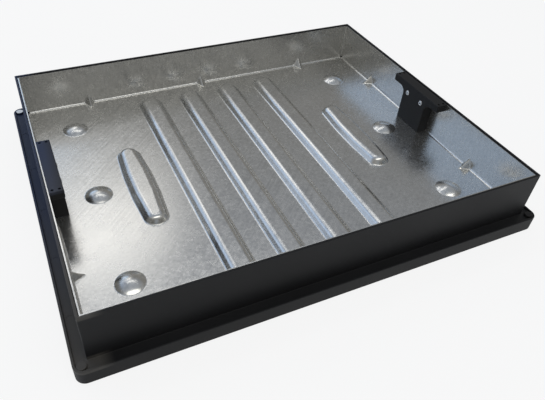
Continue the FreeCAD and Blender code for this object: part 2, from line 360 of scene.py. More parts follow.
class Graph:
    """The nodes of one material or of the world."""

    def __init__(self, owner: Union[Material, World], coordinates: str = "Object") -> None:
        """Empties a node tree and gives it coordinates.

        Args:
            owner: The material or world that has it.
            coordinates: Blender's name of the coordinates that its patterns follow.
        """
        self.owner = owner
        owner.use_nodes = True
        self.tree = owner.node_tree
        self.tree.nodes.clear()
        self.place = self.node("ShaderNodeTexCoord").outputs[coordinates]

    def node(
            self, kind: str, settings: Optional[dict[str, Any]] = None,
            inputs: Optional[dict[Union[int, str], Any]] = None) -> Node:
        """Adds a node.

        Args:
            kind: Blender's name of the node's type.
            settings: Its settings, with a ramp's stops under "stops".
            inputs: Values or links of its sockets.

        Returns:
            The node.
        """
        made = self.tree.nodes.new(kind)
        for name, setting in (settings or {}).items():
            if name == "stops":
                self._set_stops(made.color_ramp, setting)
            else:
                setattr(made, name, setting)
        for name, value in (inputs or {}).items():
            self._feed(made, name, value)
        return made

    @staticmethod
    def _set_stops(ramp: ColorRamp, stops: Sequence[tuple[float, Colour]]) -> None:
        """Gives a ramp its stops.

        Args:
            ramp: The ramp.
            stops: Place and colour of each stop.
        """
        while len(ramp.elements) < len(stops):
            ramp.elements.new(1.0)
        for element, (place, colour) in zip(ramp.elements, stops):
            element.position = place
            element.color = (*colour, 1.0)

    def _feed(self, node: Node, name: Union[int, str], value: Any) -> None:
        """Links a value to a socket, or sets the socket to it.

        Args:
            node: The node.
            name: Number or name of the socket.
            value: The value.
        """
        if isinstance(name, int):
            socket = node.inputs[name]
        else:
            socket = next(item for item in node.inputs if item.enabled and item.name == name)
        if isinstance(value, Value):
            value = value.socket
        if isinstance(value, NodeSocket):
            self.tree.links.new(value, socket)
        elif isinstance(value, tuple) and socket.type == "RGBA":
            socket.default_value = (*value, 1.0)
        else:
            socket.default_value = value

    def part(self, axis: str) -> Value:
        """One of the three coordinates."""
        return Value(self, self.node("ShaderNodeSeparateXYZ", None, {0: self.place}).outputs[axis])

    def vector(self, operation: str, first: Any, second: Any) -> NodeSocket:
        """Adds a Vector Math node."""
        return self.node(
            "ShaderNodeVectorMath", {"operation": operation}, {0: first, 1: second}).outputs[0]

    def turned(self, angle: float, stretch: Factors) -> NodeSocket:
        """Turns the coordinates about the upright axis and then stretches them.

        Args:
            angle: The turn in radians.
            stretch: Factor for each axis.

        Returns:
            The new coordinates.
        """
        inputs = {"Vector": self.place, "Rotation": (0.0, 0.0, angle)}
        turn = self.node("ShaderNodeMapping", {"vector_type": "POINT"}, inputs)
        return self.vector("MULTIPLY", turn.outputs[0], stretch)

    def noise(
            self, scale: float, detail: float = 2.0, place: Optional[NodeSocket] = None) -> Value:
        """Cloudy value about one half.

        Args:
            scale: Number of clouds to a metre, about.
            detail: Number of finer layers.
            place: Other coordinates than the graph's.

        Returns:
            The value.
        """
        inputs = {"Vector": place or self.place, "Scale": scale, "Detail": detail}
        node = self.node("ShaderNodeTexNoise", None, inputs)
        return Value(self, node.outputs["Factor" if "Factor" in node.outputs else "Fac"])

    def cells(self, scale: float, place: NodeSocket) -> Value:
        """Value that is constant in each cell of a crazed pattern.

        Args:
            scale: Number of cells to a metre, about.
            place: Coordinates.

        Returns:
            The value.
        """
        cells = self.node("ShaderNodeTexVoronoi", None, {"Vector": place, "Scale": scale})
        parts = self.node("ShaderNodeSeparateColor", None, {0: cells.outputs["Color"]})
        return Value(self, parts.outputs[0])

    def shift(self, scale: float, reach: float) -> NodeSocket:
        """Disturbs the coordinates, so that a pattern on them loses its straight lines.

        Args:
            scale: Number of waves to a metre, about.
            reach: Farthest that a point moves, about.

        Returns:
            The disturbed coordinates.
        """
        noise = self.node("ShaderNodeTexNoise", None, {"Vector": self.place, "Scale": scale})
        move = self.vector("MULTIPLY", noise.outputs["Color"], (reach, reach, reach))
        return self.vector("ADD", self.place, move)

    def mix(self, factor: Number, first: Any, second: Any) -> NodeSocket:
        """Blends two colours.

        Args:
            factor: Share of the second colour.
            first: First colour.
            second: Second colour.

        Returns:
            The blended colour.
        """
        node = self.node(
            "ShaderNodeMix", {"data_type": "RGBA", "clamp_factor": True},
            {"Factor": factor, "A": first, "B": second})
        return next(item for item in node.outputs if item.enabled)

    def bump(self, height: Value, depth: float) -> NodeSocket:
        """Normal of a relief from 0 to 1, with its depth in metres."""
        inputs = {"Strength": 1.0, "Distance": depth, "Height": height}
        return self.node("ShaderNodeBump", None, inputs).outputs[0]

    def ended(self, shader: Node) -> Material:
        """The material, with a shader at its end."""
        self.node("ShaderNodeOutputMaterial", None, {"Surface": shader.outputs[0]})
        return self.owner

    def surface(self, **inputs: Any) -> Material:
        """The material, with a shader whose sockets are named with _ for a space."""
        named = {name.replace("_", " "): value for name, value in inputs.items()}
        return self.ended(self.node("ShaderNodeBsdfPrincipled", None, named))


@dataclass(frozen=True)
class GalvanisedSteel:
    """Zinc-coated sheet: crystals, mottling, rolling lines and a slight wave."""

    dark: Colour = (0.50, 0.50, 0.485)
    light: Colour = (0.69, 0.685, 0.665)
    roughness: float = 0.25
    bareness: float = 0.94
    crystals: float = 70.0
    crystal_waves: float = 60.0
    crystal_reach: float = 9 * MM
    mottles: float = 160.0
    waves: float = 5.0
    ripples: float = 130.0
    patches: float = 4.0
    patch_range: Span = (0.35, 0.65)
    right_to_left: Span = (0.2, -0.2)
    line_angle: float = math.radians(-45.0)
    line_stretch: Factors = (9.0, 340.0, 60.0)
    relief_depth: float = 0.9 * MM

    def material(self) -> Material:
        """Builds the finish, with its rolling lines strongest at the left end.

        Returns:
            The material.
        """
        graph = Graph(bpy.data.materials.new("galvanised_sheet"))
        uneven = graph.shift(self.crystal_waves, self.crystal_reach)
        crystal = graph.cells(self.crystals, uneven) - 0.5
        mottle = graph.noise(self.mottles, 4.0) - 0.5
        # Patches and rolling lines are made stronger towards the left end.
        leftward = graph.part("X").spread(*self.right_to_left)
        patch = graph.noise(self.patches).spread(*self.patch_range) * (leftward * 0.75 + 0.25)
        along = graph.turned(self.line_angle, self.line_stretch)
        line = (graph.noise(1.0, 2.0, along) - 0.5) * (patch * 0.85 + 0.15)
        wave = graph.noise(self.waves)
        ripple = graph.noise(self.ripples, 1.0)
        tone = 0.5 + crystal * 0.14 + mottle * 1.25 + line * 2.1
        return graph.surface(
            Base_Color=graph.mix(tone, self.dark, self.light),
            Metallic=self.bareness,
            Roughness=self.roughness + mottle * 0.14 + crystal * 0.03,
            Normal=graph.bump(wave * 0.99 + line * 0.003 + ripple * 0.06, self.relief_depth))


@dataclass(frozen=True)
class MouldedPlastic:
    """Black moulded plastic with fine grain and light scuffs, and dust with a painted sheen of sky
    light on the left end's level tops.
    """

    name: str
    dark: Colour
    light: Colour
    scuff: Colour = (0.055, 0.057, 0.06)
    front_dust_and_sheen: Colour = (0.088, 0.083, 0.076)
    back_sky_sheen: Colour = (0.024, 0.038, 0.086)
    roughness: float = 0.44
    shine: float = 0.2
    clouds: float = 9.0
    cloud_range: Span = (0.45, 0.65)
    grain: float = 900.0
    scuff_angle: float = math.radians(20.0)
    scuff_stretch: Factors = (9.0, 260.0, 120.0)
    scuff_range: Span = (0.64, 0.80)
    relief_depth: float = 0.35 * MM
    left_end: Span = (-0.364, -0.384)
    front_to_back: Span = (-0.25, 0.05)
    above_channel: Span = (0.022, 0.0235)
    above_lip: Span = (0.029, 0.031)
    above_arms: Span = (0.110, 0.113)

    def _dust_and_sheen_share(self, graph: Graph) -> Value:
        """Lays dust and a painted sheen of sky light on the level tops of the flange and the block
        at the left end.

        Args:
            graph: The material's nodes.

        Returns:
            The share of dust and painted sheen.
        """
        level = graph.part("Z")
        flange = level.spread(*self.above_channel) - level.spread(*self.above_lip)
        at_left = graph.part("X").spread(*self.left_end)
        return at_left * (flange + level.spread(*self.above_arms))

    def material(self) -> Material:
        """Builds the finish.

        Returns:
            The material.
        """
        graph = Graph(bpy.data.materials.new(self.name))
        cloud = graph.noise(self.clouds, 4.0)
        grain = graph.noise(self.grain, 1.0)
        streak = graph.noise(1.0, 3.0, graph.turned(self.scuff_angle, self.scuff_stretch))
        scuffed = streak.spread(*self.scuff_range) * cloud.spread(*self.cloud_range)
        # Pale warm at the front and blue at the back: partly dust, partly a painted reflection of
        # the sky.
        dust_and_sheen_tone = graph.mix(graph.part("Y").spread(*self.front_to_back), self.front_dust_and_sheen, self.back_sky_sheen)
        base = graph.mix(cloud, self.dark, self.light)
        base = graph.mix(self._dust_and_sheen_share(graph) * (cloud * 0.5 + 0.55), base, dust_and_sheen_tone)
        return graph.surface(
            Base_Color=graph.mix(scuffed * 0.5, base, self.scuff),
            Roughness=self.roughness + (cloud - 0.5) * 0.22 + scuffed * 0.12,
            Specular_IOR_Level=self.shine,
            Normal=graph.bump(cloud * 0.8 + grain * 0.05, self.relief_depth))


@dataclass(frozen=True)
class PlatedMetal:
    """Bright plating of the rivets, with fine wear."""

    name: str
    dark: Colour
    light: Colour
    roughness: float
    grain: float = 700.0
    relief_depth: float = 0.04 * MM

    def material(self) -> Material:
        """Builds the finish.

        Returns:
            The material.
        """
        graph = Graph(bpy.data.materials.new(self.name))
        wear = graph.noise(self.grain, 3.0)
        return graph.surface(
            Base_Color=graph.mix(wear, self.dark, self.light),
            Metallic=1.0,
            Roughness=self.roughness + (wear - 0.5) * 0.2,
            Normal=graph.bump(wear, self.relief_depth))


# Pieces


@dataclass(frozen=True)
class Section:
    """One level loop of the frame moulding, and the rounding of its edge."""

    length: float
    width: float
    corner: float
    level: float
    edge: float

    def loop(self, shape: Shape) -> list[BMEdge]:
        """Adds the loop to a shape.

        Args:
            shape: The shape.

        Returns:
            The loop's edges.
        """
        size = Matrix.Diagonal((self.length, self.width, 1.0, 1.0))
        verts = bmesh.ops.create_grid(
            shape.bm, x_segments=1, y_segments=1, size=0.5,
            matrix=Matrix.Translation(UP * self.level) @ size)["verts"]
        face = shape.bend(verts, self.corner, 8)[0].link_faces[0]
        edges = list(face.edges)
        bmesh.ops.delete(shape.bm, geom=[face], context="FACES_ONLY")
        return edges

    def reshape(self, edges: Sequence[BMEdge], other: "Section") -> None:
        """Moves a loop of this section's form to another's.

        Args:
            edges: The loop's edges.
            other: The section to take up.
        """
        here = Vector((self.length / 2 - self.corner, self.width / 2 - self.corner))
        there = Vector((other.length / 2 - other.corner, other.width / 2 - other.corner))
        growth = other.corner / self.corner
        for vert in ends_of(edges):
            side_x, side_y = math.copysign(1.0, vert.co.x), math.copysign(1.0, vert.co.y)
            vert.co = Vector((
                side_x * there.x + (vert.co.x - side_x * here.x) * growth,
                side_y * there.y + (vert.co.y - side_y * here.y) * growth, other.level))


@dataclass
class FrameMoulding:
    """Lipped plastic frame: flange with a channel, upright rim, ledge, skirts and webs."""

    length: float
    width: float
    height: float
    reach: float = 21 * MM
    wall: float = 4 * MM
    lip_level: float = 28 * MM
    channel_level: float = 24 * MM
    ledge_level: float = 28 * MM
    end_ledge: float = 21 * MM
    side_ledge: float = 18 * MM
    flange_corner: float = 16 * MM
    rim_corner: float = 2 * MM
    inner_corner: float = 0.8 * MM
    web: float = 3 * MM
    web_foot: float = 0.2 * MM
    web_counts: tuple[int, int] = (6, 4)
    pitch: float = 122 * MM
    boss_radius: float = 7.25 * MM
    boss_level: float = 28.5 * MM
    boss_edge: float = 0.8 * MM
    mark_count: int = 5
    mark_radius: float = 5 * MM
    mark_depth: float = 0.4 * MM
    round_steps: int = 40

    @classmethod
    def around(cls, node: str) -> "FrameMoulding":
        """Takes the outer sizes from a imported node."""
        low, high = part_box(node)
        return cls(length=high.x - low.x, width=high.y - low.y, height=high.z)

    @property
    def _middle(self) -> Vector:
        """Middle of the channel at the corner on the positive sides."""
        inset = (self.reach + self.wall) / 2
        return Vector((self.length / 2 - inset, self.width / 2 - inset))

    def _places(self, count: int) -> list[float]:
        """Even places about zero for webs and marks."""
        return [(index - (count - 1) / 2) * self.pitch for index in range(count)]

    def _sections(self) -> list[Section]:
        """Loops of the closed section.

        Returns:
            The loops, from the outer bottom edge up and round.
        """
        base = (self.length, self.width, self.flange_corner)
        lip = tuple(size - by * self.wall for size, by in zip(base, (2, 2, 1)))
        rim = (self.length - 2 * self.reach, self.width - 2 * self.reach, self.rim_corner)
        pocket = (rim[0] - 2 * self.wall, rim[1] - 2 * self.wall, self.inner_corner)
        opening = (
            pocket[0] - 2 * self.end_ledge, pocket[1] - 2 * self.side_ledge, self.inner_corner)
        skirt = (opening[0] + 2 * self.wall, opening[1] + 2 * self.wall, self.inner_corner)
        deck = self.channel_level - self.wall
        under_ledge = self.ledge_level - self.wall
        # Plan, level and radius of the edge in millimetres.
        loops = (
            (base, 0.0, 0.6), (base, self.lip_level, 1.2), (lip, self.lip_level, 0.8),
            (lip, self.channel_level, 0.8), (rim, self.channel_level, 1.2),
            (rim, self.height, 0.8), (pocket, self.height, 0.5), (pocket, self.ledge_level, 0.0),
            (opening, self.ledge_level, 0.6), (opening, 0.0, 0.5), (skirt, 0.0, 0.5),
            (skirt, under_ledge, 0.0), (pocket, under_ledge, 0.0), (pocket, deck, 0.0),
            (lip, deck, 0.0), (lip, 0.0, 0.5))
        return [Section(*plan, level, edge * MM) for plan, level, edge in loops]

    def _body(self) -> Shape:
        """Carries a loop through the sections and rounds its edges.

        Returns:
            The moulding without webs, bosses and marks.
        """
        shape = Shape()
        sections = self._sections()
        loops = [sections[0].loop(shape)]
        for here, there in zip(sections, sections[1:]):
            loops.append(shape.extrude(loops[-1], Vector()))
            here.reshape(loops[-1], there)
        bmesh.ops.bridge_loops(shape.bm, edges=loops[-1] + loops[0])
        shape.face_outwards()
        for section, edges in zip(sections, loops):
            if section.edge > 0:
                shape.soften(edges, section.edge)
        return shape

    def _webs(self) -> Shape:
        """Cross ribs under the flange and the ledge.

        Returns:
            The webs.
        """
        shape = Shape()
        half = Vector((self.length, self.width)) / 2
        outer = half - Vector((self.wall, self.wall)) / 2
        reach = self.reach + self.wall / 2
        inner = half - Vector((reach + self.end_ledge, reach + self.side_ledge))
        for side in SIDES:
            for along, count in enumerate(self.web_counts):
                across = 1 - along
                for place in self._places(count):
                    low = Vector((0.0, 0.0, self.web_foot))
                    high = Vector((0.0, 0.0, self.channel_level - self.wall / 2))
                    low[along], high[along] = place - self.web / 2, place + self.web / 2
                    low[across], high[across] = sorted((side * inner[across], side * outer[across]))
                    shape.box(low, high)
        return shape

    def _bosses(self) -> Shape:
        """Round boss in the channel at each corner.

        Returns:
            The bosses.
        """
        shape = Shape()
        foot = self.channel_level - self.wall / 2
        for side_x, side_y in CORNERS:
            start = Vector((side_x * self._middle.x, side_y * self._middle.y, foot))
            shape.bar(self.boss_radius, start, UP * (self.boss_level - foot), self.round_steps)
        top = shape.edges_with(lambda vert: vert.co.z > self.channel_level)
        shape.soften(top, self.boss_edge, 3)
        return shape

    def _marks(self) -> Shape:
        """Shallow round marks that the ejector pins leave in the end channels.

        Returns:
            Bars to take away.
        """
        shape = Shape()
        reach = UP * (self.mark_depth + self.wall / 2)
        for side in SIDES:
            for y in self._places(self.mark_count):
                start = Vector((side * self._middle.x, y, self.channel_level - self.mark_depth))
                shape.bar(self.mark_radius, start, reach, self.round_steps)
        return shape

    def build(self, finish: MouldedPlastic, cap: MouldedPlastic) -> None:
        """Builds and dresses the frame.

        Args:
            finish: Its plastic.
            cap: Pale plastic on the tops of the two back bosses, a painted glint of light.
        """
        mesh = self._body().mesh("frame_body")
        mesh = combined(mesh, self._webs(), Joining.UNION)
        mesh = combined(mesh, self._bosses(), Joining.UNION)
        mesh = combined(mesh, self._marks(), Joining.CUT)
        # The tops of the two back bosses take the pale plastic, which paints a glint of light on
        # them.
        for face in mesh.polygons:
            capped = face.center.y > 0 and abs(face.center.z - self.boss_level) < NEAR
            face.material_index = int(capped)
        publish("frame_moulding", mesh, "frame", "frame_plastic", finish.material(), cap.material())


@dataclass(frozen=True)
class Turn:
    """Arc of a pressed form's outline, seen from above and to the left."""

    centre: Vector
    angle: float


@dataclass(frozen=True)
class PressedForm:
    """A form raised in the floor: one bent section carried along straight ways and arcs."""

    start: Vector
    path: Sequence[Union[Vector, Turn]]
    slope: float
    height: float
    base_radius: float
    top_radius: float
    steps_to_turn: int = 40
    margin: float = 0.4 * MM

    def add_to(self, shape: Shape) -> None:
        """Adds the form's skin to the floor's.

        Args:
            shape: The floor under construction.
        """
        half_angle = math.atan2(self.height, self.slope) / 2
        base = self.base_radius * math.tan(half_angle)
        top = self.top_radius * math.tan(half_angle)
        section = (
            (base + self.margin, 0.0), (0.0, 0.0), (-self.slope, self.height),
            (-self.slope - top - self.margin, self.height))
        made = Shape()
        line = made.line([self.start + Vector((x, 0.0, z)) for x, z in section])
        made.bend([line[1]], base, 5)
        made.bend([line[2]], top, 8)
        edges = list(made.bm.edges)
        for move in self.path:
            edges = self._carry(made, edges, move)
        made.merge()
        crown = [edge for edge in made.bm.edges
                 if edge.is_boundary and edge.verts[0].co.z > self.start.z + self.height / 2]
        bmesh.ops.contextual_create(made.bm, geom=crown)
        shape.absorb(made)

    def _carry(self, made: Shape, edges: list[BMEdge], move: Union[Vector, Turn]) -> list[BMEdge]:
        """Carries the section along one stretch of the outline.

        Args:
            made: The form under construction.
            edges: The section's edges.
            move: The way or arc.

        Returns:
            The section's edges at its end.
        """
        if isinstance(move, Vector):
            return made.extrude(edges, move)
        steps = max(3, round(self.steps_to_turn * abs(move.angle) / (2 * math.pi)))
        return made.spin(edges, move.centre, UP, move.angle, steps)


@dataclass(frozen=True)
class Dart:
    """Three-cornered dart that stiffens the fold between floor and wall."""

    half_width: float = 9.5 * MM
    reach: float = 20 * MM
    rise: float = 19 * MM
    ridge: float = 1.3 * MM
    blend: float = 2.2 * MM

    def press(self, verts: Sequence[BMVert], place: float) -> None:
        """Lifts the vertices of a fold that the dart takes in.

        Args:
            verts: Vertices with X along the fold, Y from the wall and Z from the floor.
            place: Place of the dart on X.
        """
        pace = 1 / self.reach + 1 / self.rise
        for vert in verts:
            aside = math.hypot(vert.co.x - place, self.ridge) - self.ridge
            share = aside / self.half_width + vert.co.y / self.reach + vert.co.z / self.rise
            lift = (1 - share) / pace
            if lift <= -self.blend:
                continue
            if lift < self.blend:
                lift = (lift + self.blend) ** 2 / (4 * self.blend)
            vert.co += Vector((0.0, lift, lift))


@dataclass
class PressedTray:
    """Folded sheet tray with pressed ribs, domes and darts."""

    length: float
    width: float
    under: float
    top: float
    sheet: float = 2 * MM
    fold: float = 4.2 * MM
    border: float = 26 * MM
    rib_count: int = 4
    rib_pitch: float = 92.4 * MM
    rib_end_gap: float = 33 * MM
    rib_half_width: float = 25 * MM
    rib_height: float = 11.5 * MM
    rib_slope: float = 8 * MM
    rib_base_radius: float = 4 * MM
    rib_top_radius: float = 12 * MM
    short_rib_inset: float = 161 * MM
    short_rib_length: float = 224 * MM
    short_rib_height: float = 14 * MM
    short_rib_middle: float = 26 * MM
    short_rib_end: float = 21.5 * MM
    dome_end_inset: float = 81.5 * MM
    dome_side_inset: float = 96.5 * MM
    dome_radius: float = 24.5 * MM
    dome_top: float = 12 * MM
    dome_height: float = 8.5 * MM
    dome_base_radius: float = 4 * MM
    dome_crown_radius: float = 36 * MM
    long_wall_dart_inset: float = 131 * MM
    short_wall_dart_inset: float = 138 * MM
    relief_radius: float = 3 * MM
    relief_inset: float = 1 * MM
    relief_rise: float = 3.5 * MM
    dart: Dart = Dart()
    dart_zone: float = 25 * MM
    dart_margin: float = 5 * MM
    dart_pace: float = 1.1 * MM
    bead_rows: int = 60
    bead_foot: float = 1.3 * MM
    bead_radius: float = 1.35 * MM
    bead_scatter: float = 0.42 * MM
    bead_inset: float = 0.3 * MM
    bead_gap: float = 0.5 * MM

    @classmethod
    def around(cls, node: str) -> "PressedTray":
        """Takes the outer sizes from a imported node."""
        low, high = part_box(node)
        return cls(length=high.x - low.x, width=high.y - low.y, under=low.z, top=high.z)

    @property
    def floor(self) -> float:
        """Level of the floor's upper face."""
        return self.under + self.sheet

    @property
    def end_face(self) -> float:
        """Distance of the end walls' inner faces from the middle."""
        return self.length / 2 - self.sheet

    @property
    def side_face(self) -> float:
        """Distance of the side walls' inner faces from the middle."""
        return self.width / 2 - self.sheet

    def _long_rib(self, x: float) -> PressedForm:
        """Straight rib with round ends.

        Args:
            x: Its place on X.

        Returns:
            The rib.
        """
        end = self.side_face - self.rib_end_gap - self.rib_half_width
        back = Vector((x, end, self.floor))
        front = Vector((x, -end, self.floor))
        path = [back - front, Turn(back, math.pi), front - back, Turn(front, math.pi)]
        return PressedForm(
            front + ALONG * self.rib_half_width, path, self.rib_slope, self.rib_height,
            self.rib_base_radius, self.rib_top_radius)

    def _short_rib(self, side: int) -> PressedForm:
        """Rib whose sides bulge in plan, between round ends.

        Args:
            side: Its sign on X.

        Returns:
            The rib.
        """
        place = Vector((side * (self.end_face - self.short_rib_inset), 0.0, self.floor))
        end = self.short_rib_length / 2 - self.short_rib_end
        bulge = self.short_rib_middle ** 2 - self.short_rib_end ** 2
        radius = (end ** 2 + bulge) / (2 * (self.short_rib_middle - self.short_rib_end))
        swing = math.atan2(end, radius - self.short_rib_middle)
        far = ALONG * (radius - self.short_rib_middle)
        away = Vector((0.0, end, 0.0))
        path = [
            Turn(place - far, 2 * swing), Turn(place + away, math.pi - 2 * swing),
            Turn(place + far, 2 * swing), Turn(place - away, math.pi - 2 * swing)]
        start = Matrix.Rotation(-swing, 4, "Z") @ (ALONG * radius)
        return PressedForm(
            place - far + start, path, self.rib_slope, self.short_rib_height,
            self.rib_base_radius, self.rib_top_radius, steps_to_turn=48)

    def _dome(self, x: float, y: float) -> PressedForm:
        """Low round dome with a soft rim and top."""
        centre = Vector((x, y, self.floor))
        return PressedForm(
            centre + ALONG * self.dome_radius, [Turn(centre, 2 * math.pi)],
            self.dome_radius - self.dome_top, self.dome_height, self.dome_base_radius,
            self.dome_crown_radius)

    def _forms(self) -> list[PressedForm]:
        """Lays out the ribs and domes.

        Returns:
            Every form that is pressed in the floor.
        """
        forms = [
            self._long_rib((index - (self.rib_count - 1) / 2) * self.rib_pitch)
            for index in range(self.rib_count)]
        for side in SIDES:
            forms.append(self._short_rib(side))
            for row in (-1, 0, 1):
                forms.append(self._dome(
                    side * (self.end_face - self.dome_end_inset),
                    row * (self.side_face - self.dome_side_inset)))
        return forms

    def _wall(self, half_length: float, darts: Sequence[float]) -> Shape:
        """Wall, fold and border of the floor, mitred at both ends.

        Args:
            half_length: Half the length of the wall's inner face.
            darts: Places of its darts.

        Returns:
            The strip, with X along the fold, Y from the wall and Z from the floor.
        """
        shape = Shape()
        section = (
            (self.border, 0.0), (0.0, 0.0), (0.0, self.dart_zone), (0.0, self.top - self.floor))
        line = shape.line([Vector((-half_length, y, z)) for y, z in section])
        shape.bend([line[1]], self.fold, 6)
        fine = [edge for edge in shape.bm.edges
                if self.dart_zone / 2 < edge.calc_length() < self.dart_zone]
        bmesh.ops.subdivide_edges(shape.bm, edges=fine, cuts=15)
        edges = list(shape.bm.edges)
        places = self._stations(half_length, darts)
        for here, there in zip(places, places[1:]):
            edges = shape.extrude(edges, ALONG * (there - here))
        for vert in shape.bm.verts:
            if abs(vert.co.x) > half_length - NEAR:
                vert.co.x -= math.copysign(vert.co.y, vert.co.x)
        for place in darts:
            self.dart.press(shape.bm.verts[:], place)
        return shape

    def _stations(self, half_length: float, darts: Sequence[float]) -> list[float]:
        """Places at which a wall's strip has a row of vertices, close at each dart.

        Args:
            half_length: Half the length of the wall's inner face.
            darts: Places of its darts.

        Returns:
            The places in order.
        """
        count = math.ceil((self.dart.half_width + self.dart_margin) / self.dart_pace)
        places = [-half_length, half_length]
        for dart in darts:
            places += [dart + index * self.dart_pace for index in range(-count, count + 1)]
        return sorted(places)

    def _skin(self) -> Shape:
        """Walls, forms and the floor between them.

        Returns:
            The inner skin of the whole tray.
        """
        shape = Shape()
        x = self.end_face - self.long_wall_dart_inset
        y = self.side_face - self.short_wall_dart_inset
        walls = (
            (self.end_face, self.side_face, (-x, 0.0, x)), (self.side_face, self.end_face, (-y, y)))
        for turn in range(4):
            half_length, out, darts = walls[turn % 2]
            place = Matrix.Translation((0.0, -out, self.floor))
            turned = Matrix.Rotation(turn * math.pi / 2, 4, "Z")
            shape.absorb(self._wall(half_length, darts).moved(turned @ place))
        for form in self._forms():
            form.add_to(shape)
        shape.merge()
        low = shape.edges_with(lambda vert: vert.co.z < self.floor + NEAR)
        bmesh.ops.triangle_fill(
            shape.bm, use_beauty=True, use_dissolve=False, normal=UP,
            edges=[edge for edge in low if edge.is_boundary])
        shape.face_outwards()
        lowest = min(shape.bm.faces, key=lambda face: face.calc_center_median().z)
        if lowest.normal.z < 0:
            bmesh.ops.reverse_faces(shape.bm, faces=shape.bm.faces[:])
        LOG.info("tray skin: %d faces", len(shape.bm.faces))
        return shape

    def _corners(self, inset: float, level: float) -> list[Vector]:
        """A point in each corner, at a distance from both walls."""
        return [
            Vector((x * (self.end_face - inset), y * (self.side_face - inset), level))
            for x, y in CORNERS]

    def _cuts(self, rivets: Sequence[Vector]) -> Shape:
        """Corner reliefs and rivet holes.

        Args:
            rivets: Places of the rivets' heads.

        Returns:
            Bars to take away.
        """
        shape = Shape()
        below = 2 * self.sheet
        for foot in self._corners(self.relief_inset, self.floor - below):
            shape.bar(self.relief_radius, foot, UP * (below + self.relief_rise), 24)
        for place in rivets:
            side = math.copysign(1.0, place.x)
            inner = Vector((side * (self.end_face - self.sheet), place.y, place.z))
            shape.bar(RIVET_HOLE, inner, ALONG * side * 3 * self.sheet, 20)
        return shape

    def _seams(self) -> Shape:
        """Uneven weld bead up each corner.

        Returns:
            The four beads.
        """
        shape = Shape()
        rng = random.Random(7)
        low = self.floor + self.relief_rise + self.bead_gap
        step = (self.top - MM - low) / self.bead_rows
        for corner in self._corners(self.bead_inset, low):
            ring = bmesh.ops.create_circle(
                shape.bm, cap_ends=True, cap_tris=False, segments=10, radius=self.bead_foot,
                matrix=Matrix.Translation(corner))["verts"]
            edges = list(ring[0].link_faces[0].edges)
            for _ in range(self.bead_rows):
                edges = shape.extrude(edges, UP * step)
                verts = ends_of(edges)
                centre = sum((vert.co for vert in verts), Vector()) / len(verts)
                size = self.bead_radius + rng.uniform(-self.bead_scatter, self.bead_scatter)
                for vert in verts:
                    vert.co = centre + (vert.co - centre).normalized() * size
            bmesh.ops.contextual_create(shape.bm, geom=edges)
        shape.face_outwards()
        return shape

    def build(self, finish: GalvanisedSteel, rivets: Sequence[Vector]) -> None:
        """Builds and dresses the tray.

        Args:
            finish: Its steel.
            rivets: Places of the rivets' heads.
        """
        mesh = finished(
            self._skin().mesh("tray_skin"), "SOLIDIFY", thickness=self.sheet, offset=-1.0,
            use_even_offset=True, use_rim=True)
        whole = Shape()
        whole.bm.from_mesh(combined(mesh, self._cuts(rivets), Joining.CUT))
        whole.absorb(self._seams())
        publish("pressed_tray", whole.mesh("tray"), "tray", "galvanised_steel", finish.material())


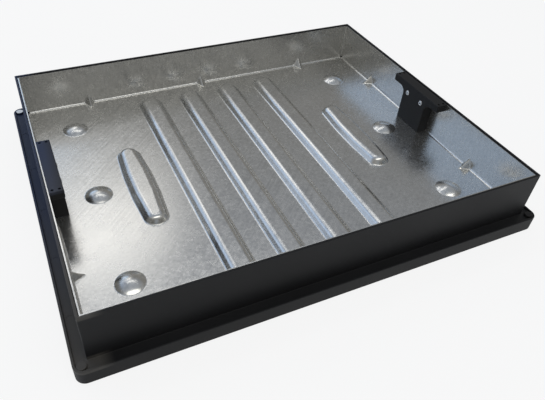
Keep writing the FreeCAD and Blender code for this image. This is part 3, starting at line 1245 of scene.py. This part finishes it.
@dataclass
class LiftingBlock:
    """T-shaped block on an end wall, under whose arms a lifting key hooks."""

    node: str
    end: End
    face: float
    back: float
    low: float
    top: float
    middle: float
    half_span: float
    rivets: Sequence[Vector]
    arm_height: float = 16 * MM
    arm_corner: float = 1.5 * MM
    half_stem: float = 36.5 * MM
    fillet: float = 14 * MM
    heel: float = 4 * MM
    front_edge: float = 1.2 * MM
    back_edge: float = 0.4 * MM
    dimple_radius: float = 2.5 * MM
    dimple_depth: float = 4 * MM
    dimple_inset: float = 6 * MM

    @classmethod
    def around(cls, end: End, rivets: Sequence[Vector]) -> "LiftingBlock":
        """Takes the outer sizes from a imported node.

        Args:
            end: The end of the tray.
            rivets: Places of its rivets' heads.

        Returns:
            The block.
        """
        node = f"lifting_block_{end.name.lower()}"
        low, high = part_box(node)
        face, back = sorted((abs(low.x), abs(high.x)))
        return cls(
            node=node, end=end, face=face, back=back, low=low.z, top=high.z,
            middle=(low.y + high.y) / 2, half_span=(high.y - low.y) / 2, rivets=rivets)

    def _body(self) -> Shape:
        """Carries a T outline back to the wall, rounds its edges and cuts its heel.

        Returns:
            The block, with the front face on the YZ plane.
        """
        shape = Shape()
        depth = self.back - self.face
        arm = self.top - self.arm_height
        half = [
            (self.half_stem, self.low), (self.half_stem, arm), (self.half_span, arm),
            (self.half_span, self.top)]
        outline = half + [(-y, z) for y, z in reversed(half)]
        verts = [shape.bm.verts.new((0.0, y, z)) for y, z in outline]
        shape.bm.faces.new(verts)
        shape.bend([verts[1], verts[6]], self.fillet, 10)
        shape.bend(verts[2:6], self.arm_corner, 3)
        result = bmesh.ops.extrude_face_region(shape.bm, geom=shape.bm.faces[:])["geom"]
        moved = [item for item in result if isinstance(item, BMVert)]
        bmesh.ops.translate(shape.bm, verts=moved, vec=ALONG * depth)
        shape.face_outwards()
        heel = shape.edges_with(
            lambda vert: vert.co.x > depth - NEAR and vert.co.z < self.low + NEAR)
        shape.soften(heel, self.heel, 1)
        shape.soften(shape.edges_with(lambda vert: vert.co.x < NEAR), self.front_edge, 3)
        shape.soften(shape.edges_with(lambda vert: vert.co.x > depth - NEAR), self.back_edge, 2)
        return shape

    def _cuts(self) -> Shape:
        """Blind dimples in the top and the rivets' holes.

        Returns:
            Bars to take away.
        """
        shape = Shape()
        side = self.end.value
        along = self.half_span - self.dimple_inset
        for x in (self.face + self.dimple_inset, self.back - self.dimple_inset):
            for y in (self.middle - along, self.middle + along):
                start = Vector((side * x, y, self.top - self.dimple_depth))
                shape.bar(self.dimple_radius, start, UP * (self.dimple_depth + MM), 20)
        through = ALONG * side * (self.back - self.face + 2 * MM)
        for rivet in self.rivets:
            start = Vector((side * (self.face - MM), rivet.y, rivet.z))
            shape.bar(RIVET_HOLE, start, through, 20)
        return shape

    def build(self, finish: MouldedPlastic) -> None:
        """Builds and dresses the block.

        Args:
            finish: Its plastic.
        """
        turned = Matrix.Rotation(math.pi if self.end is End.LEFT else 0.0, 4, "Z")
        place = Matrix.Translation((self.end.value * self.face, self.middle, 0.0)) @ turned
        mesh = combined(self._body().moved(place).mesh("block"), self._cuts(), Joining.CUT)
        publish(f"{self.node}_moulding", mesh, self.node, "block_plastic", finish.material())


@dataclass
class TubularRivet:
    """Rivet with a low round head and an open bore."""

    node: str
    head_radius: float = 5.25 * MM
    head_height: float = 1.5 * MM
    crown_radius: float = 3.255 * MM
    crown_drop: float = 0.825 * MM
    shank_radius: float = 2.4 * MM
    bore_radius: float = 1.5 * MM
    bore_depth: float = 5 * MM
    bore_zone: float = 1.01
    head_edge: float = 0.5 * MM
    bore_edge: float = 0.3 * MM

    @property
    def place(self) -> Vector:
        """Takes the head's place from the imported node.

        Returns:
            Centre of the head's crown.
        """
        low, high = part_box(self.node)
        x = low.x if low.x > 0 else high.x
        return Vector((x, (low.y + high.y) / 2, (low.z + high.z) / 2))

    def build(self, plating: PlatedMetal, bore: PlatedMetal) -> None:
        """Builds and dresses the rivet.

        Args:
            plating: Finish of the head and shank.
            bore: Dark finish inside the bore, a painted shade.
        """
        low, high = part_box(self.node)
        tail = high.x - low.x
        outline = (
            (self.bore_depth, 0.0), (self.bore_depth, self.bore_radius), (0.0, self.bore_radius),
            (0.0, self.crown_radius), (self.crown_drop, self.head_radius),
            (self.head_height, self.head_radius), (self.head_height, self.shank_radius),
            (tail, self.shank_radius), (tail, 0.0))
        shape = Shape()
        line = shape.line([Vector((x, 0.0, radius)) for x, radius in outline])
        shape.bend(line[3:5], self.head_edge, 4)
        shape.bend([line[2]], self.bore_edge, 3)
        shape.spin(shape.bm.edges[:], Vector(), ALONG, 2 * math.pi, 36)
        shape.merge()
        shape.face_outwards()
        # Faces inside the bore take the dark finish, which paints the bore's shade.
        for face in shape.bm.faces:
            centre = face.calc_center_median()
            inside = math.hypot(centre.y, centre.z) < self.bore_radius * self.bore_zone
            face.material_index = int(inside and centre.x < self.bore_depth * self.bore_zone)
        turned = Matrix.Rotation(0.0 if self.place.x > 0 else math.pi, 4, "Z")
        shape.moved(Matrix.Translation(self.place) @ turned)
        publish(
            f"{self.node}_turned", shape.mesh("rivet"), self.node, "rivet_metal",
            plating.material(), bore.material())


# Studio


def direction(azimuth: float, elevation: float) -> Vector:
    """Direction from the origin.

    Args:
        azimuth: Degrees from +Y towards +X.
        elevation: Degrees above the floor.

    Returns:
        The direction, of length 1.
    """
    turn, rise = math.radians(azimuth), math.radians(elevation)
    return Vector((
        math.sin(turn) * math.cos(rise), math.cos(turn) * math.cos(rise), math.sin(rise)))


@dataclass(frozen=True)
class SoftLamp:
    """Large soft lamp, aimed at the tray."""

    name: str
    azimuth: float
    elevation: float
    distance: float
    width: float
    height: float
    radiance: float
    colour: Colour

    def build(self) -> None:
        """Adds the lamp."""
        data = bpy.data.lights.new(self.name, "AREA")
        data.shape = "ELLIPSE"
        data.size = self.width
        data.size_y = self.height
        data.color = self.colour
        data.energy = self.radiance * math.pi * math.pi * self.width * self.height / 4
        lamp = placed(self.name, data)
        lamp.location = self.distance * direction(self.azimuth, self.elevation)
        lamp.rotation_euler = lamp.location.to_track_quat("Z", "Y").to_euler()


@dataclass
class Studio:
    """Pale floor, soft light and the photograph's camera."""

    image_width: float = 545.0
    image_height: float = 400.0
    focal_pixels: float = 540.656
    centre_x: float = 251.693
    centre_y: float = 200.691
    azimuth: float = -26.811
    elevation: float = 42.218
    roll: float = 3.833
    eye: Vector = Vector((-0.3890, -0.7679, 0.6953))
    sensor: float = 36.0
    floor_radius: float = 12.0
    floor_colour: Colour = (0.88, 0.88, 0.88)
    floor_shade: float = 0.97
    floor_clouds: float = 3.0
    floor_glow: float = 0.85
    mirrored_glow: float = 0.27
    backdrop: Colour = (0.93, 0.93, 0.93)
    left_sky: Sequence[tuple[float, Colour]] = (
        (0.0, (0.80, 0.88, 1.0)), (0.26, (0.68, 0.80, 1.0)), (0.50, (0.38, 0.52, 0.78)),
        (0.80, (0.34, 0.42, 0.56)), (1.0, (0.40, 0.45, 0.54)))
    right_sky: Sequence[tuple[float, Colour]] = (
        (0.0, (0.50, 0.49, 0.47)), (0.26, (0.28, 0.27, 0.25)), (0.48, (0.26, 0.25, 0.235)),
        (0.58, (0.28, 0.28, 0.27)), (0.68, (0.31, 0.33, 0.37)), (1.0, (0.40, 0.44, 0.50)))
    front_sky: Sequence[tuple[float, Colour]] = (
        (0.0, (0.55, 0.55, 0.54)), (0.28, (0.33, 0.33, 0.32)), (0.60, (0.37, 0.37, 0.36)),
        (1.0, (0.40, 0.44, 0.50)))
    left_to_right: Span = (-0.60, 0.15)
    front_to_back: Span = (-0.15, 0.40)
    # Name, azimuth, elevation, distance, width, height, radiance and colour.
    lamps: Sequence[SoftLamp] = (
        SoftLamp("lamp_behind", -7.0, 47.5, 2.6, 1.0, 0.46, 1.35, (1.0, 0.965, 0.91)),
        SoftLamp("lamp_behind_wide", -12.0, 44.0, 2.9, 2.1, 1.1, 0.5, (1.0, 0.98, 0.94)),
        SoftLamp("lamp_bar", 4.0, 67.5, 2.6, 2.2, 0.34, 2.3, (1.0, 0.98, 0.94)),
        SoftLamp("lamp_overhead", 182.0, 63.0, 2.6, 3.2, 0.6, 3.0, (1.0, 0.97, 0.90)),
        SoftLamp("lamp_left", -50.0, 34.0, 2.8, 1.5, 0.9, 0.5, (0.68, 0.83, 1.0)),
        SoftLamp("lamp_low", -16.0, 27.0, 2.8, 1.3, 0.5, 1.3, (0.55, 0.74, 1.0)))

    def camera(self) -> None:
        """Adds the camera that the photograph was solved for."""
        back = direction(180.0 - self.azimuth, self.elevation)
        right = (-back).cross(UP).normalized()
        upright = Matrix((right, back.cross(right), back)).transposed().to_4x4()
        rolled = upright @ Matrix.Rotation(math.radians(self.roll), 4, "Z")
        data = bpy.data.cameras.new("camera")
        data.sensor_fit = "HORIZONTAL"
        data.sensor_width = self.sensor
        data.lens = self.focal_pixels * self.sensor / self.image_width
        data.shift_x = (self.image_width / 2 - self.centre_x) / self.image_width
        data.shift_y = (self.centre_y - self.image_height / 2) / self.image_width
        data.clip_start = 10 * MM
        camera = placed("camera", data)
        camera.matrix_world = Matrix.Translation(self.eye) @ rolled
        bpy.context.scene.camera = camera

    def floor(self) -> None:
        """Adds the floor, which looks evenly pale and still takes the object's shadow."""
        shape = Shape()
        bmesh.ops.create_circle(
            shape.bm, cap_ends=True, cap_tris=False, segments=64, radius=self.floor_radius)
        floor = placed("floor", shape.mesh("floor"))
        graph = Graph(bpy.data.materials.new("pale_floor"))
        dim = tuple(part * self.floor_shade for part in self.floor_colour)
        shade = graph.mix(graph.noise(self.floor_clouds), dim, self.floor_colour)
        matt = graph.node("ShaderNodeBsdfDiffuse", None, {"Color": shade})
        glow = graph.node("ShaderNodeEmission", None, {"Color": (1.0, 1.0, 1.0), "Strength": 1.0})
        ray = graph.node("ShaderNodeLightPath")
        direct, glossy, through = (Value(graph, ray.outputs[name]) for name in (
            "Is Camera Ray", "Is Glossy Ray", "Is Transmission Ray"))
        seen = direct * self.floor_glow + (glossy + through) * self.mirrored_glow
        both = graph.node(
            "ShaderNodeMixShader", None, {0: seen, 1: matt.outputs[0], 2: glow.outputs[0]})
        floor.data.materials.append(graph.ended(both))

    def world(self) -> None:
        """Gives the room a pale horizon and a dimmer upper half, cooler on the left."""
        world = bpy.data.worlds.new("studio")
        bpy.context.scene.world = world
        graph = Graph(world, "Generated")
        level = graph.part("Z")
        left, right, front = (
            graph.node("ShaderNodeValToRGB", {"stops": stops}, {0: level}).outputs[0]
            for stops in (self.left_sky, self.right_sky, self.front_sky))
        side = graph.part("X").spread(*self.left_to_right)
        ahead = graph.part("Y").spread(*self.front_to_back)
        room = graph.mix(ahead, front, graph.mix(side, left, right))
        seen = Value(graph, graph.node("ShaderNodeLightPath").outputs["Is Camera Ray"])
        colour = graph.mix(seen, room, self.backdrop)
        background = graph.node("ShaderNodeBackground", None, {"Color": colour, "Strength": 1.0})
        graph.node("ShaderNodeOutputWorld", None, {"Surface": background.outputs[0]})

    def build(self) -> None:
        """Builds the whole studio."""
        self.camera()
        self.floor()
        self.world()
        for lamp in self.lamps:
            lamp.build()
        bpy.context.scene.view_settings.view_transform = "Standard"


def main() -> None:
    """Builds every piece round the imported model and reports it."""
    logging.basicConfig(level=logging.INFO, format="%(name)s: %(message)s")
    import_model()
    Studio().build()
    frame_plastic = MouldedPlastic(
        "frame_plastic_black", (0.0095, 0.0095, 0.0102), (0.0165, 0.0168, 0.018))
    # Pale plastic for the back bosses' tops: a painted glint of light.
    glint_cap = MouldedPlastic(
        "boss_top_painted_glint", (0.70, 0.73, 0.76), (0.88, 0.90, 0.92), front_dust_and_sheen=(0.80, 0.80, 0.78),
        back_sky_sheen=(0.84, 0.88, 0.92))
    block_plastic = MouldedPlastic(
        "block_plastic_black", (0.014, 0.0142, 0.015), (0.021, 0.0213, 0.0225), roughness=0.5)
    plating = PlatedMetal("rivet_plating", (0.55, 0.56, 0.58), (0.80, 0.80, 0.80), 0.24)
    # The bore's dark plating is painted shade.
    bore = PlatedMetal("rivet_bore_painted_shade", (0.02, 0.02, 0.02), (0.05, 0.05, 0.05), 0.6)
    FrameMoulding.around("frame").build(frame_plastic, glint_cap)
    rivets = {
        end: [TubularRivet(f"{end.name.lower()}_rivet_{row}") for row in ("front", "back")]
        for end in End}
    places = {end: [rivet.place for rivet in pair] for end, pair in rivets.items()}
    PressedTray.around("tray").build(GalvanisedSteel(), places[End.LEFT] + places[End.RIGHT])
    for end in End:
        LiftingBlock.around(end, places[end]).build(block_plastic)
        for rivet in rivets[end]:
            rivet.build(plating, bore)


if __name__ == "__main__":
    main()
